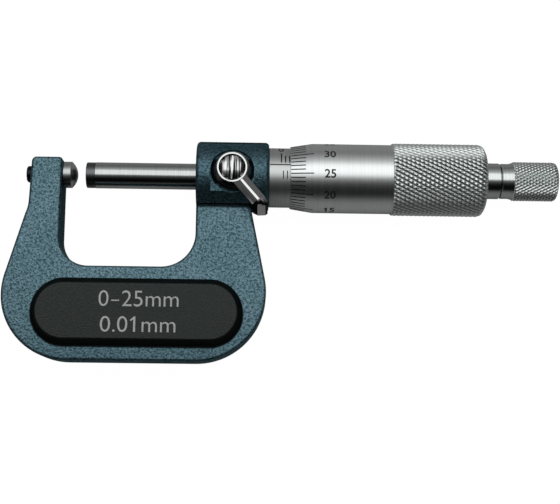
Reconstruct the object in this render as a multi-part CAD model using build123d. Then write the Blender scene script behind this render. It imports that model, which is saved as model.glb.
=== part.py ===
from build123d import *
import os
from math import sin, cos, radians, sqrt

os.makedirs("parts", exist_ok=True)

# Tube micrometer, 0-25 mm, lying on its back
# X runs along the spindle towards the ratchet, Y points from the grip plate to the spindle,
# Z points out of the front. The origin is the top of the anvil's ball end, on the spindle axis.
# Lengths are in millimetres.

# Reading shown: 2.27 mm
gap = 2.27

# Frame casting
web_half = 4.4
edge_round = 0.75
arm_top_y = 3.7
arm_outer_x = -10.92
arm_outer_r, arm_inner_r = 1.2, 0.8
arm_knee_x, arm_knee_y = -11.32, -7.3
flank_x, flank_y = -12.0, -10.4
left_cx, left_cy, left_r = -0.82, -30.2, 16.3
right_cx, right_cy, right_r = 30.13, -29.4, 17.1
flank_left_deg = 16.0
flank_right_deg = 11.7
throat_left_x = -3.43
throat_right_x = 29.75
throat_y = -23.33
throat_left_r = 7.0
throat_right_r = 8.4

# Boss for the barrel
boss_x0, boss_x1, boss_r = 29.65, 47.6, 8.75
boss_round = 1.0
boss_blend = 0.8

# Grip plates
plate_cx, plate_cy = 15.95, -34.55
plate_len, plate_wid, plate_thick, plate_bevel = 51.4, 16.25, 2.0, 1.45

# Anvil
anvil_r, anvil_seat_x, dome_r = 3.28, -3.43, 4.35
shank_r, shank_x, shank_bevel = 2.06, -12.54, 0.3

# Spindle and its measuring face
spindle_r = 3.25
tip_len, tip_r = 2.25, 3.2
thread_x0, thread_x1, thread_r = 43.2, 78.6, 3.6
taper_x0, taper_x1, taper_r0, taper_r1 = 81.0, 88.6, 4.2, 3.5
run = 0.04

# Barrel: slit thread bush, adjusting nut and graduated sleeve
bush_x0, bush_x1 = 31.5, 76.4
bush_boss_r, bush_r = 5.2, 5.6
bearing_x1 = 40.7
nut_thread_x0 = 66.0
bush_taper_x0, bush_taper_r = 67.5, 5.1
slit_x0, slit_w = 63.0, 0.6
nut_x0, nut_x1, nut_r = 70.2, 75.4, 6.75
sleeve_x1, sleeve_r, sleeve_thin_x0, sleeve_thin_r = 77.0, 7.42, 68.6, 6.85

# Thimble
thimble_x0, thimble_edge_r = boss_x1 + 5.27, 7.75
bevel_x1, thimble_r = 58.4, 8.65
grip_x0, grip_x1, grip_r = 78.1, 101.5, 9.05
cavity_x1, cavity_r = 80.6, 7.49
rear_bore_x0, rear_bore_r = 89.4, 4.0

# Ratchet
neck_x1, neck_r = 105.36, 4.48
post_r, post_x1 = 1.9, 112.2
pocket_x0, pocket_r = 102.9, 3.75
pawl_x0 = 106.4
collar_x1, collar_r = 107.6, 4.4
knob_x0, knob_x1, knob_r = 105.51, 119.7, 4.9
teeth, tooth_h = 24, 0.5
teeth_x = 108.8
tooth_r0, tooth_r1 = 2.35, 3.55

# Spindle lock
lock_x = 38.6
recess_r, recess_z = 5.35, 7.2
seat_r, seat_z0, seat_z1 = 4.7, 6.0, 9.2
hub_r, hub_z0, hub_z1 = 3.58, 9.3, 11.7
counterbore_r = 3.03
arm_x0, arm_y0, arm_z, arm_deg, arm_len = 39.73, -1.67, 11.3, -48.8, 7.95
arm_half, arm_crest, arm_thick, roof_slope = 1.75, 0.28, 1.9, 0.8
knee_steps, knee_turn, knee_dip, knee_len = 4, -39.0, -50.0, 2.0
toe_len, toe_half, toe_left, toe_right, toe_thick = 2.65, 1.81, 0.65, 1.24, 1.35
stem_r = 1.45
pad_r, pad_z1 = 1.6, 4.5


def rod(x0, x1, r):
    """A round bar along X."""
    return Pos(x0, 0, 0) * Rot(0, 90, 0) * Cylinder(
        r, x1 - x0, align=(Align.CENTER, Align.CENTER, Align.MIN))


def taper(x0, x1, r0, r1):
    """A cone along X."""
    return Pos(x0, 0, 0) * Rot(0, 90, 0) * Cone(
        r0, r1, x1 - x0, align=(Align.CENTER, Align.CENTER, Align.MIN))


def peg(z0, z1, r, x=lock_x, y=0.0):
    """A round bar along Z."""
    return Pos(x, y, z0) * Cylinder(r, z1 - z0, align=(Align.CENTER, Align.CENTER, Align.MIN))


def ring_edges(part, x, r):
    """The round edges of radius r that lie at x."""
    return [e for e in part.edges().filter_by(GeomType.CIRCLE)
            if abs(e.arc_center.X - x) < 1e-3 and abs(e.radius - r) < 1e-3]


def web_profile():
    """The U outline, from lines and tangent arcs."""
    a, b = radians(flank_left_deg), radians(flank_right_deg)
    left = (left_cx - left_r * cos(a), left_cy + left_r * sin(a))
    right = (right_cx + right_r * cos(b), right_cy + right_r * sin(b))
    top_x = right[0] - (0.0 - right[1]) * sin(b) / cos(b)
    m = left_r * sin(radians(45))
    n = right_r * sin(radians(45))
    k, q = sin(radians(45)) * throat_left_r, sin(radians(45)) * throat_right_r
    tl = (throat_left_x + throat_left_r, throat_y + throat_left_r)
    tr = (throat_right_x - throat_right_r, throat_y + throat_right_r)
    outline = [
        Line((throat_left_x, arm_top_y), (arm_outer_x, arm_top_y)),
        Line((arm_outer_x, arm_top_y), (arm_knee_x, arm_knee_y)),
        TangentArc((arm_knee_x, arm_knee_y), (flank_x, flank_y),
                   tangent=(arm_knee_x - arm_outer_x, arm_knee_y - arm_top_y)),
        Line((flank_x, flank_y), left),
        ThreePointArc(left, (left_cx - m, left_cy - m), (left_cx, left_cy - left_r)),
        Line((left_cx, left_cy - left_r), (right_cx, right_cy - right_r)),
        ThreePointArc((right_cx, right_cy - right_r), (right_cx + n, right_cy - n), right),
        Line(right, (top_x, 0)),
        Line((top_x, 0), (throat_right_x, 0)),
        Line((throat_right_x, 0), (throat_right_x, tr[1])),
        ThreePointArc((throat_right_x, tr[1]), (tr[0] + q, tr[1] - q), (tr[0], throat_y)),
        Line((tr[0], throat_y), (tl[0], throat_y)),
        ThreePointArc((tl[0], throat_y), (tl[0] - k, tl[1] - k), (throat_left_x, tl[1])),
        Line((throat_left_x, tl[1]), (throat_left_x, arm_top_y)),
    ]
    return make_face(Curve() + outline)


def blend_strip(side):
    """The cast fillet between the boss and one face of the web."""
    z = web_half + boss_blend
    y = -sqrt((boss_r + boss_blend) ** 2 - z ** 2)
    k = boss_r / (boss_r + boss_blend)
    block = Polyline((y, web_half - 0.5), (y, web_half), (y * k, z * k), (-3, 5), (-3, 3),
                     (y, web_half - 0.5))
    face = make_face(block) - Pos(y, z) * Circle(boss_blend)
    strip = extrude(Plane.YZ.offset(boss_x0 + 0.9) * face, 12.8)
    return strip if side > 0 else mirror(strip, about=Plane.XY)


def frame():
    """Cast C-frame with the boss; one casting, then bored and spot-faced."""
    web = extrude(Pos(0, 0, -web_half) * web_profile(), 2 * web_half)
    corners = [e for e in web.edges().filter_by(Axis.Z)
               if e.center().Y > arm_top_y - 0.01]
    web = fillet([e for e in corners if e.center().X < arm_outer_x + 1], arm_outer_r)
    web = fillet([e for e in web.edges().filter_by(Axis.Z)
                  if abs(e.center().X - throat_left_x) + abs(e.center().Y - arm_top_y) < 0.01],
                 arm_inner_r)
    rims = web.faces().sort_by(Axis.Z)[-1].edges() + web.faces().sort_by(Axis.Z)[0].edges()
    web = fillet(rims, edge_round)
    boss = rod(boss_x0, boss_x1, boss_r)
    boss = fillet(ring_edges(boss, boss_x0, boss_r) + ring_edges(boss, boss_x1, boss_r), boss_round)
    body = web + boss + blend_strip(1) + blend_strip(-1)
    # bores for the barrel and the spindle
    body -= rod(bush_x0, boss_x1 + 1, bush_boss_r + 0.01) + rod(boss_x0 - 1, bush_x0 + 1, spindle_r + 0.2)
    # spot face for the lock, open towards the throat, with a deeper round seat in it
    cut = peg(recess_z, 12, recess_r)
    cut += Pos(lock_x, -3.5, (recess_z + 12) / 2) * Box(2 * recess_r, 7.0, 12 - recess_z)
    body -= cut + peg(seat_z0, 12, recess_r)
    body -= peg(3, 9, pad_r + 0.05)
    # bore for the anvil's shank
    body -= rod(-14, 0, shank_r + 0.01)
    return body


def anvil():
    """Ball-ended anvil, turned in one: a domed head and a thin shank."""
    rim_x = -dome_r + sqrt(dome_r ** 2 - anvil_r ** 2)
    mid = dome_r * sin(radians(22))
    back = anvil_seat_x + 0.02
    outline = [
        Line((0, 0), (shank_x, 0)), Line((shank_x, 0), (shank_x, shank_r - shank_bevel)),
        Line((shank_x, shank_r - shank_bevel), (shank_x + shank_bevel, shank_r)),
        Line((shank_x + shank_bevel, shank_r), (back, shank_r)),
        Line((back, shank_r), (back, anvil_r)),
        Line((back, anvil_r), (rim_x, anvil_r)),
        ThreePointArc((rim_x, anvil_r), (-dome_r + dome_r * cos(radians(22)), mid), (0, 0)),
    ]
    return revolve(make_face(Curve() + outline), Axis.X)


def grip_plate(side):
    """Oval plate with a bevelled rim."""
    body = extrude(SlotOverall(plate_len, plate_wid), plate_thick)
    body = chamfer(body.faces().sort_by(Axis.Z)[-1].edges(), plate_thick - 0.3, plate_bevel)
    body = Pos(plate_cx, plate_cy, web_half) * body
    return body if side > 0 else mirror(body, about=Plane.XY)


def thread_bush():
    """Barrel core: plain bearing, slit and tapered nut end."""
    body = rod(bush_x0, boss_x1, bush_boss_r) + rod(boss_x1, bush_taper_x0, bush_r)
    body += taper(bush_taper_x0, bush_x1, bush_r, bush_taper_r)
    body -= rod(bush_x0 - 1, bearing_x1 + 1, spindle_r + run)
    body -= rod(bearing_x1, nut_thread_x0, thread_r + 0.4)
    body -= rod(nut_thread_x0 - 1, bush_x1 + 1, thread_r + run)
    for k in range(3):
        slit = Pos((slit_x0 + 80) / 2, 0, 5) * Box(80 - slit_x0, slit_w, 10)
        body -= Rot(60 + 120 * k, 0, 0) * slit
    body -= peg(2, 8, pad_r + 0.05)
    return body


def adjusting_nut():
    """Taper ring nut with two spanner slots."""
    slope = (bush_r - bush_taper_r) / (bush_x1 - bush_taper_x0)
    body = rod(nut_x0, nut_x1, nut_r)
    r0 = bush_r - slope * (nut_x0 - bush_taper_x0) + 0.02
    r1 = bush_r - slope * (nut_x1 - bush_taper_x0) + 0.02
    body -= taper(nut_x0, nut_x1, r0, r1)
    body -= Pos(nut_x1, 0, 0) * Box(1.6, 1.2, 20)
    return body


def sleeve():
    """Graduated sleeve with the spanner hole at the back."""
    body = rod(boss_x1 + 0.03, sleeve_x1, sleeve_r)
    body = chamfer(ring_edges(body, sleeve_x1, sleeve_r), 0.2)
    body -= rod(boss_x1 - 1, sleeve_x1 + 1, bush_r + 0.02)
    body -= rod(sleeve_thin_x0, sleeve_x1 + 1, sleeve_thin_r)
    body -= Pos(49.4, 0, -8) * Cylinder(0.6, 3)
    return body


def spindle_tip():
    """Hard metal measuring face."""
    return rod(gap, gap + tip_len, tip_r)


def spindle():
    """Ground spindle, its threaded length at the effective diameter, and the taper seat."""
    body = rod(gap + tip_len + 0.01, thread_x0, spindle_r)
    threaded = rod(thread_x0, thread_x1, thread_r)
    threaded = chamfer(ring_edges(threaded, thread_x0, thread_r), 0.3)
    body += threaded
    body += rod(thread_x1 - 0.1, taper_x0, spindle_r) + taper(taper_x0, taper_x1, taper_r0, taper_r1)
    body -= rod(taper_x1 - 6.5, taper_x1 + 1, 1.62)
    return body


def thimble():
    """Bevelled thimble with its grip, bored over the sleeve and tapered at the back."""
    body = taper(thimble_x0, bevel_x1, thimble_edge_r, thimble_r) + rod(bevel_x1, grip_x0, thimble_r)
    grip = rod(grip_x0, grip_x1, grip_r)
    grip = fillet(ring_edges(grip, grip_x1, grip_r), 2.0)
    grip = chamfer(ring_edges(grip, grip_x0, grip_r), 0.3)
    body += grip
    body -= rod(thimble_x0 - 1, cavity_x1, cavity_r)
    slope = (taper_r0 - taper_r1) / (taper_x1 - taper_x0)
    body -= taper(cavity_x1 - 0.1, rear_bore_x0 + 0.1, taper_r0 + slope * 0.5 + 0.02,
                  taper_r0 - slope * (rear_bore_x0 + 0.1 - taper_x0) + 0.02)
    body -= rod(rear_bore_x0, grip_x1 + 1, rear_bore_r)
    return body


def ratchet_body():
    """Stud, spigot, neck with the spring pocket, and the two-flat post."""
    body = rod(taper_x1 - 6.0, rear_bore_x0 + 1, 1.6)
    body += rod(rear_bore_x0 + 0.02, grip_x1 + 0.1, rear_bore_r - 0.02)
    neck = rod(grip_x1 + 0.02, neck_x1, neck_r)
    neck = chamfer(ring_edges(neck, neck_x1, neck_r), 0.15)
    body += neck
    body -= rod(pocket_x0, neck_x1 + 1, pocket_r)
    post = rod(pocket_x0 - 0.1, post_x1, post_r)
    flats = Pos(106.2, 0, 0) * Box(5.6, 2.9, 5)
    post -= Pos(106.2, 0, 0) * Box(5.6, 5, 5) - flats
    body += post
    body -= rod(post_x1 - 4.5, post_x1 + 1, 0.92)
    return body


def tooth_ring(x, h, play):
    """Saw teeth on a face: each rises along the turn and drops straight."""
    step = 360 / teeth
    ring = None
    for k in range(teeth):
        w = 2 * tooth_r1 * sin(radians(step / 2)) + 0.02
        saw = Polyline((-0.3, 0), (h - play, -w / 2 + play), (-0.3, -w), (-0.3, 0))
        tooth = extrude(Plane.XY * make_face(saw), tooth_r1)
        tooth = Rot(k * step, 0, 0) * (Pos(x, w / 2, 0) * tooth)
        ring = tooth if ring is None else ring + tooth
    return ring & (rod(x - 1, x + 2, tooth_r1) - rod(x - 1, x + 2, tooth_r0))


def ratchet_pawl():
    """Sprung disc with face teeth, held from turning by the post's flats."""
    body = rod(pawl_x0, teeth_x, 3.6)
    body += tooth_ring(teeth_x, tooth_h, 0.04)
    body -= rod(neck_x1, 110, post_r + 0.06) & (Pos(108, 0, 0) * Box(8, 3.02, 6))
    return body


def ratchet_spring():
    """Coil spring in the neck's pocket, drawn at its pressed length."""
    path = Helix(pitch=0.82, height=2.46, radius=2.8)
    wire = Plane(origin=path @ 0, z_dir=path % 0) * Circle(0.24)
    coil = sweep(wire, path=path)
    return Pos(pocket_x0 + 0.26, 0, 0) * Rot(0, 90, 0) * coil


def ratchet_knob():
    """Friction knob: collar ring, knurled barrel, and face teeth inside."""
    body = rod(knob_x0, collar_x1, collar_r) + taper(collar_x1, 108.6, collar_r, knob_r)
    grip = rod(108.5, knob_x1, knob_r)
    grip = fillet(ring_edges(grip, knob_x1, knob_r), 1.0)
    body += grip
    body -= rod(knob_x0 - 1, teeth_x + tooth_h + 0.04, 3.7)
    crown = rod(teeth_x + 0.04, teeth_x + tooth_h + 0.2, 3.75) - tooth_ring(teeth_x, tooth_h + 0.05, 0.0)
    body += crown
    body -= rod(teeth_x - 1, 112, post_r + run)
    body -= rod(112, knob_x1 + 1, 3.6)
    body -= rod(knob_x1 - 1.0, knob_x1 + 1, 3.8)
    return body


def ratchet_washer():
    """Thin washer on the end of the post."""
    return rod(post_x1 + 0.02, post_x1 + 0.42, 2.9) - rod(post_x1, post_x1 + 1, 0.98)


def ratchet_screw():
    """Shouldered screw that keeps the knob on the post."""
    body = rod(post_x1 - 4.0, post_x1 + 0.5, 0.9) + rod(post_x1 + 0.44, post_x1 + 2.1, 1.9)
    body -= Pos(post_x1 + 2.1, 0, 0) * Box(1.0, 0.45, 6)
    return body


def end_cap():
    """Pressed cover in the knob's end."""
    cap = rod(knob_x1 - 0.98, knob_x1 - 0.1, 3.78)
    return cap


def lock_collar():
    """Stepped round seat pressed in the spot face, under the lever."""
    seat = peg(seat_z0 + 0.01, seat_z1, seat_r - 0.6) + peg(seat_z0 + 0.01, seat_z1 - 0.6, seat_r)
    top = [e for e in seat.edges().filter_by(GeomType.CIRCLE) if e.arc_center.Z > seat_z1 - 0.01]
    step = [e for e in seat.edges().filter_by(GeomType.CIRCLE)
            if abs(e.arc_center.Z - seat_z1 + 0.6) < 0.01 and e.radius > seat_r - 0.01]
    seat = chamfer(top + step, 0.2)
    return seat - peg(seat_z0 - 1, seat_z1 + 1, stem_r + 0.06)


def lever_section(at, part):
    """A section of the lever's bar, square to its path, and the way on: part 0 is the arm,
    part 1 the finger end. It is a roof with a flat crest, wider on the finger end."""
    h, p = radians(arm_deg + knee_turn * part), radians(knee_dip * part)
    half = arm_half + (toe_half - arm_half) * part
    left = arm_crest + (toe_left - arm_crest) * part
    right = arm_crest + (toe_right - arm_crest) * part
    thick = arm_thick + (toe_thick - arm_thick) * part
    way = Vector(cos(h) * cos(p), sin(h) * cos(p), sin(p))
    roof = Polyline((-half, -thick), (-half, -(half - left) * roof_slope), (-left, 0), (right, 0),
                    (half, -(half - right) * roof_slope), (half, -thick), (-half, -thick))
    plane = Plane(origin=at, x_dir=(-sin(h), cos(h), 0), z_dir=way)
    return plane * make_face(roof), way


def lever_bar():
    """Bar of the lever, walked from the hub: a straight arm, a knee, and the finger end
    that turns and dips away from the boss."""
    at = Vector(arm_x0, arm_y0, arm_z)
    first, way = lever_section(at, 0.0)
    at += way * arm_len
    sections = [first, lever_section(at, 0.0)[0]]
    for k in range(knee_steps):
        part = (k + 1) / knee_steps
        at += lever_section(at, part)[1] * knee_len / knee_steps
        sections.append(lever_section(at, part)[0])
    at += lever_section(at, 1.0)[1] * toe_len
    sections.append(lever_section(at, 1.0)[0])
    return loft(sections, ruled=True)


def lock_lever():
    """Hub ring, counterbored for the screw, with the cranked bar."""
    hub = peg(hub_z0, hub_z1, hub_r)
    top = [e for e in hub.edges().filter_by(GeomType.CIRCLE) if e.arc_center.Z > hub_z1 - 0.01]
    hub = fillet(top, 0.3)
    body = hub + lever_bar()
    body -= peg(hub_z0 + 1.2, hub_z1 + 1, counterbore_r)
    body -= peg(hub_z0 - 1, hub_z1, stem_r + 0.01)
    return body


def lock_screw():
    """Domed screw with a slot, seated in the hub."""
    head = peg(hub_z0 + 1.22, 12.2, 2.84) & (Pos(lock_x, 0, 12.2 - 6.5) * Sphere(6.5))
    head -= Pos(lock_x, 0, 12.2) * Box(0.56, 7, 1.4)
    head -= peg(hub_z0 + 1, hub_z0 + 1.3, stem_r)
    return head


def lock_stem():
    """Threaded stem, turned by the lever, that presses on the pad."""
    return peg(pad_z1 + 0.1, hub_z0 + 1.25, stem_r)


def lock_pad():
    """Brass shoe with a hollow that fits the spindle."""
    return peg(2.0, pad_z1, pad_r) - rod(lock_x - 4, lock_x + 4, spindle_r + 0.06)


NODES = {
    "frame": frame, "anvil": anvil,
    "front_grip_plate": lambda: grip_plate(1), "rear_grip_plate": lambda: grip_plate(-1),
    "thread_bush": thread_bush, "adjusting_nut": adjusting_nut, "sleeve": sleeve,
    "spindle_tip": spindle_tip, "spindle": spindle, "thimble": thimble,
    "ratchet_body": ratchet_body, "ratchet_pawl": ratchet_pawl, "ratchet_spring": ratchet_spring,
    "ratchet_knob": ratchet_knob, "ratchet_washer": ratchet_washer,
    "ratchet_screw": ratchet_screw, "end_cap": end_cap,
    "lock_collar": lock_collar, "lock_lever": lock_lever, "lock_screw": lock_screw,
    "lock_stem": lock_stem, "lock_pad": lock_pad,
}

for name, make in NODES.items():
    export_step(make(), "parts/" + name + ".step")
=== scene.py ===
from math import asin, cos, degrees, pi, radians, sin, sqrt, tan

import bpy
from mathutils import Matrix, Vector


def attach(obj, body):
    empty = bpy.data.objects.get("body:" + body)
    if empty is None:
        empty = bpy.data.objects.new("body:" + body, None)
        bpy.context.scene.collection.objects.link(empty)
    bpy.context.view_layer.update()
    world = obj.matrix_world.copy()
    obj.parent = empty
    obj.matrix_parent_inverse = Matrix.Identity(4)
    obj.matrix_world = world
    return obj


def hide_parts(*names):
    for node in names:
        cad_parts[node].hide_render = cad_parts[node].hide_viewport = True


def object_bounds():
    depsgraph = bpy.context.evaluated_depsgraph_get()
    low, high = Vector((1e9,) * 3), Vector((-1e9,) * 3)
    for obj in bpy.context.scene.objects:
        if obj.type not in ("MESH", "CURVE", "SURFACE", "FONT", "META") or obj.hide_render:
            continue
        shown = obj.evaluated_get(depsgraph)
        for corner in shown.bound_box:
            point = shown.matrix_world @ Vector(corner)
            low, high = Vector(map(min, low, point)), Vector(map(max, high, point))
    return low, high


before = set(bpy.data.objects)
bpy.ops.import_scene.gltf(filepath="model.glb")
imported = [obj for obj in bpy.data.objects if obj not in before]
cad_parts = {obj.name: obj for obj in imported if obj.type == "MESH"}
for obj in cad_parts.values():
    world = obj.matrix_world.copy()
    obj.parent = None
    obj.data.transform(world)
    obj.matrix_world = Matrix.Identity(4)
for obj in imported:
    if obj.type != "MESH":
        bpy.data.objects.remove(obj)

cad_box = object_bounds()


# Frame casting
# A malleable iron C-frame, cast in one with its barrel boss, then bored and spot-faced.
# It is stoved in blue-grey hammered enamel: metallic flake that draws into small dark pits.

MM = 0.001


def deselect():
    if bpy.context.mode != "OBJECT":
        bpy.ops.object.mode_set(mode="OBJECT")
    bpy.ops.object.select_all(action="DESELECT")


def take_up(piece):
    """Makes the piece the only selected and active one."""
    deselect()
    piece.select_set(True)
    bpy.context.view_layer.objects.active = piece


def apply_modifier(piece, kind, **settings):
    take_up(piece)
    modifier = piece.modifiers.new(kind.lower(), kind)
    for key, value in settings.items():
        setattr(modifier, key, value)
    bpy.ops.object.modifier_apply(modifier=modifier.name)


def clean_mesh(piece, merge=0.0005):
    """Joins doubled points and turns every face outwards."""
    take_up(piece)
    bpy.ops.object.mode_set(mode="EDIT")
    bpy.ops.mesh.select_all(action="SELECT")
    bpy.ops.mesh.remove_doubles(threshold=merge * MM)
    bpy.ops.mesh.normals_make_consistent(inside=False)
    bpy.ops.object.mode_set(mode="OBJECT")


def smooth(piece, angle=25):
    take_up(piece)
    bpy.ops.object.shade_smooth_by_angle(angle=radians(angle))


def crisp(piece, angle):
    """Smooth shading that keeps broad faces flat beside their rounded edges."""
    smooth(piece, angle)
    apply_modifier(piece, "WEIGHTED_NORMAL", keep_sharp=True, weight=50)


def from_node(source, name):
    """A working copy of a CAD node with its loose triangles joined."""
    piece = bpy.data.objects.new(name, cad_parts[source].data.copy())
    bpy.context.scene.collection.objects.link(piece)
    take_up(piece)
    if piece.data.has_custom_normals:
        bpy.ops.mesh.customdata_custom_splitnormals_clear()
    clean_mesh(piece)
    return piece


def linear(hex_colour):
    """sRGB hex to the linear colour that a shader takes."""
    parts = [int(hex_colour[i:i + 2], 16) / 255 for i in (1, 3, 5)]
    return tuple(c / 12.92 if c <= 0.04045 else ((c + 0.055) / 1.055) ** 2.4 for c in parts) + (1.0,)


def node(tree, kind, inputs=None, **settings):
    """Adds one shader node; an input is a plain value or another node's output."""
    new = tree.nodes.new("ShaderNode" + kind)
    for key, value in settings.items():
        setattr(new, key, value)
    for key, value in (inputs or {}).items():
        if isinstance(value, bpy.types.NodeSocket):
            tree.links.new(value, new.inputs[key])
        else:
            new.inputs[key].default_value = value
    return new


def new_material(name, colour, metallic=0.0, roughness=0.5):
    """A material with its constants on the shader's own sockets."""
    material = bpy.data.materials.new(name)
    material.use_nodes = True
    tree = material.node_tree
    shader = tree.nodes["Principled BSDF"]
    shader.inputs["Base Color"].default_value = linear(colour)
    shader.inputs["Metallic"].default_value = metallic
    shader.inputs["Roughness"].default_value = roughness
    place = node(tree, "TexCoord").outputs["Object"]
    return material, tree, shader, place


def feed(shader, socket, value):
    shader.id_data.links.new(value, shader.inputs[socket])


def noise(tree, place, size, detail, **more):
    """Noise whose spots are about size mm apart."""
    inputs = {"Vector": place, "Scale": 1 / (size * MM), "Detail": detail, **more}
    return node(tree, "TexNoise", inputs).outputs["Fac"]


def ramp(tree, factor, stops):
    """A colour ramp over (position, hex) stops."""
    new = node(tree, "ValToRGB", {"Fac": factor})
    band = new.color_ramp
    while len(band.elements) < len(stops):
        band.elements.new(0.5)
    for element, (position, colour) in zip(band.elements, stops):
        element.position = position
        element.color = linear(colour)
    return new.outputs["Color"]


def maths(tree, operation, *values, clamp=False):
    """One step of arithmetic on one or two values."""
    return node(tree, "Math", dict(enumerate(values)), operation=operation, use_clamp=clamp).outputs[0]


def product(tree, first, *others):
    for other in others:
        first = maths(tree, "MULTIPLY", first, other)
    return first


def remap(tree, value, span, onto=(0.0, 1.0), kind="LINEAR"):
    """Carries one span of values onto another, and holds its ends beyond them."""
    inputs = {"Value": value, "From Min": span[0], "From Max": span[1], "To Min": onto[0], "To Max": onto[1]}
    return node(tree, "MapRange", inputs, interpolation_type=kind).outputs["Result"]


def fade(tree, length, start, end, onto=(0.0, 1.0)):
    """The same for a length, from start to end in mm."""
    return remap(tree, length, (start * MM, end * MM), onto)


def mix(tree, factor, first, second, blend="MIX"):
    """Mixes two colours, each a hex or another node's output."""
    first, second = [linear(c) if isinstance(c, str) else c for c in (first, second)]
    return node(tree, "Mix", {"Factor": factor, 6: first, 7: second}, data_type="RGBA",
                blend_type=blend).outputs[2]


def shaded(tree, colour, factor, tint):
    """The colour multiplied by a tint where the factor is one."""
    return mix(tree, 1.0, colour, mix(tree, factor, "#FFFFFF", tint), "MULTIPLY")


def dimple(tree, shader, height, strength, depth):
    """Presses a height into the surface, at most depth in mm."""
    bump = node(tree, "Bump", {"Height": height, "Strength": strength, "Distance": depth * MM})
    feed(shader, "Normal", bump.outputs["Normal"])


def within(tree, length, low, high):
    """One where a length lies between two others in mm, else nothing."""
    return product(tree, maths(tree, "GREATER_THAN", length, low * MM),
                   maths(tree, "LESS_THAN", length, high * MM))


def reach(tree, across, up):
    """How far a point lies from the origin of two offsets."""
    flat = node(tree, "CombineXYZ", {0: across, 1: up}).outputs[0]
    return node(tree, "VectorMath", {0: flat}, operation="LENGTH").outputs["Value"]


def dress(piece, material):
    piece.data.materials.clear()
    piece.data.materials.append(material)


# Stoved hammered enamel. Pits about 0.3 mm wide and 0.6 mm apart let the dark ground through,
# and the flake between them shines softly, so faces turned from the light go almost black.
PIT_SPACING, FLAKE_GRAIN, TONE_PATCH, PIT_DEPTH = 0.55, 0.30, 9.0, 0.07
enamel, tree, shader, place = new_material("hammered_enamel", "#5E7A86", 0.85, 0.40)
shader.inputs["Specular Tint"].default_value = linear("#A9CBD6")
pits = noise(tree, place, PIT_SPACING, 1.5, Roughness=0.55, Distortion=0.6)
flake = noise(tree, place, FLAKE_GRAIN, 1.0)
patches = noise(tree, place, TONE_PATCH, 2.0)
relief = remap(tree, pits, (0.30, 0.60), kind="SMOOTHSTEP")
dimple(tree, shader, relief, 0.5, PIT_DEPTH)
coat = ramp(tree, relief, [(0.0, "#465F6A"), (0.5, "#658490"), (1.0, "#7E9DA9")])
tone = ramp(tree, patches, [(0.3, "#E2EAE8"), (0.7, "#FFFFFF")])
grain = ramp(tree, flake, [(0.32, "#CFCFCF"), (0.62, "#FFFFFF")])
coat = mix(tree, 1.0, mix(tree, 1.0, coat, tone, "MULTIPLY"), grain, "MULTIPLY")

# The coat is coloured darker on the boss, which stands proud of the web on both sides.
BOSS_FOOT_Z, BOSS_FULL_Z = 4.45, 6.0
spot = node(tree, "SeparateXYZ", {0: place}).outputs
proud = maths(tree, "ABSOLUTE", spot["Z"])
coat = shaded(tree, coat, fade(tree, proud, BOSS_FOOT_Z, BOSS_FULL_Z), "#CFD7DA")

# Painted shade: the cast fillet below the boss is coloured dark for its shade, and the throat's wall is
# painted dark so that the spindle mirrors a dark band.
FILLET_X, FILLET_Y, WEB_HALF = (29.4, 47.7), (-8.8, -8.3), 4.6
THROAT_X, THROAT_Y, THROAT_SHADE_HALF = (-3.6, 29.9), (-23.5, 1.0), 3.6
painted_fillet_shade = product(tree, fade(tree, spot["Y"], *FILLET_Y), within(tree, spot["X"], *FILLET_X),
                 maths(tree, "LESS_THAN", proud, WEB_HALF * MM))
coat = shaded(tree, coat, painted_fillet_shade, "#3E4346")
painted_throat_shade = product(tree, within(tree, spot["X"], *THROAT_X), within(tree, spot["Y"], *THROAT_Y),
                 maths(tree, "LESS_THAN", proud, THROAT_SHADE_HALF * MM))
coat = shaded(tree, coat, painted_throat_shade, "#94989A")

# Painted shade: the round counterbore under the lock is coloured near black in its sides, where the collar's
# gap lies in shade.
LOCK_X, COUNTERBORE_R, COUNTERBORE_Z, COUNTERBORE_SHADE_HALF, COUNTERBORE_SHADE_FADE = 38.6, 5.37, 7.16, 3.6, 0.8
from_lock = reach(tree, maths(tree, "SUBTRACT", spot["X"], LOCK_X * MM), spot["Y"])
beside = fade(tree, maths(tree, "ABSOLUTE", spot["Y"]), COUNTERBORE_SHADE_HALF - COUNTERBORE_SHADE_FADE, COUNTERBORE_SHADE_HALF, (1.0, 0.0))
painted_counterbore_shade = product(tree, maths(tree, "LESS_THAN", from_lock, COUNTERBORE_R * MM),
               within(tree, spot["Z"], WEB_HALF, COUNTERBORE_Z), beside)

# Painted shade: the coat is darker towards the bow's foot, where less light falls, and a painted shadow lies
# along the plate's lower rim.
FALLOFF_Y0, FALLOFF_Y1 = -33.0, -49.0
RIM_X, RIM_Y, RIM_HALF, RIM_R, RIM_SHADOW_WIDTH = 15.95, -34.98, 17.57, 8.12, 0.35
coat = shaded(tree, coat, fade(tree, spot["Y"], FALLOFF_Y0, FALLOFF_Y1), "#D2D8DA")
aside = maths(tree, "ABSOLUTE", maths(tree, "SUBTRACT", spot["X"], RIM_X * MM))
past_end = maths(tree, "MAXIMUM", maths(tree, "SUBTRACT", aside, RIM_HALF * MM), 0.0)
from_rim = reach(tree, past_end, maths(tree, "SUBTRACT", spot["Y"], RIM_Y * MM))
painted_rim_shadow = fade(tree, from_rim, RIM_R, RIM_R + RIM_SHADOW_WIDTH, (1.0, 0.0))
# Both painted shades, in the counterbore and below the plate, are mixed in as near black.
feed(shader, "Base Color", mix(tree, maths(tree, "MAXIMUM", painted_counterbore_shade, painted_rim_shadow), coat, "#07090A"))

casting = from_node("frame", "frame_casting")
crisp(casting, 35)
dress(casting, enamel)
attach(casting, "frame_body")
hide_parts("frame")


# Grip plates
# Two oval plates, moulded in black ABS with a fine spark-eroded grain and a bevelled rim.
# They are bonded to both sides of the frame and keep the hand's warmth from the casting.


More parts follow.
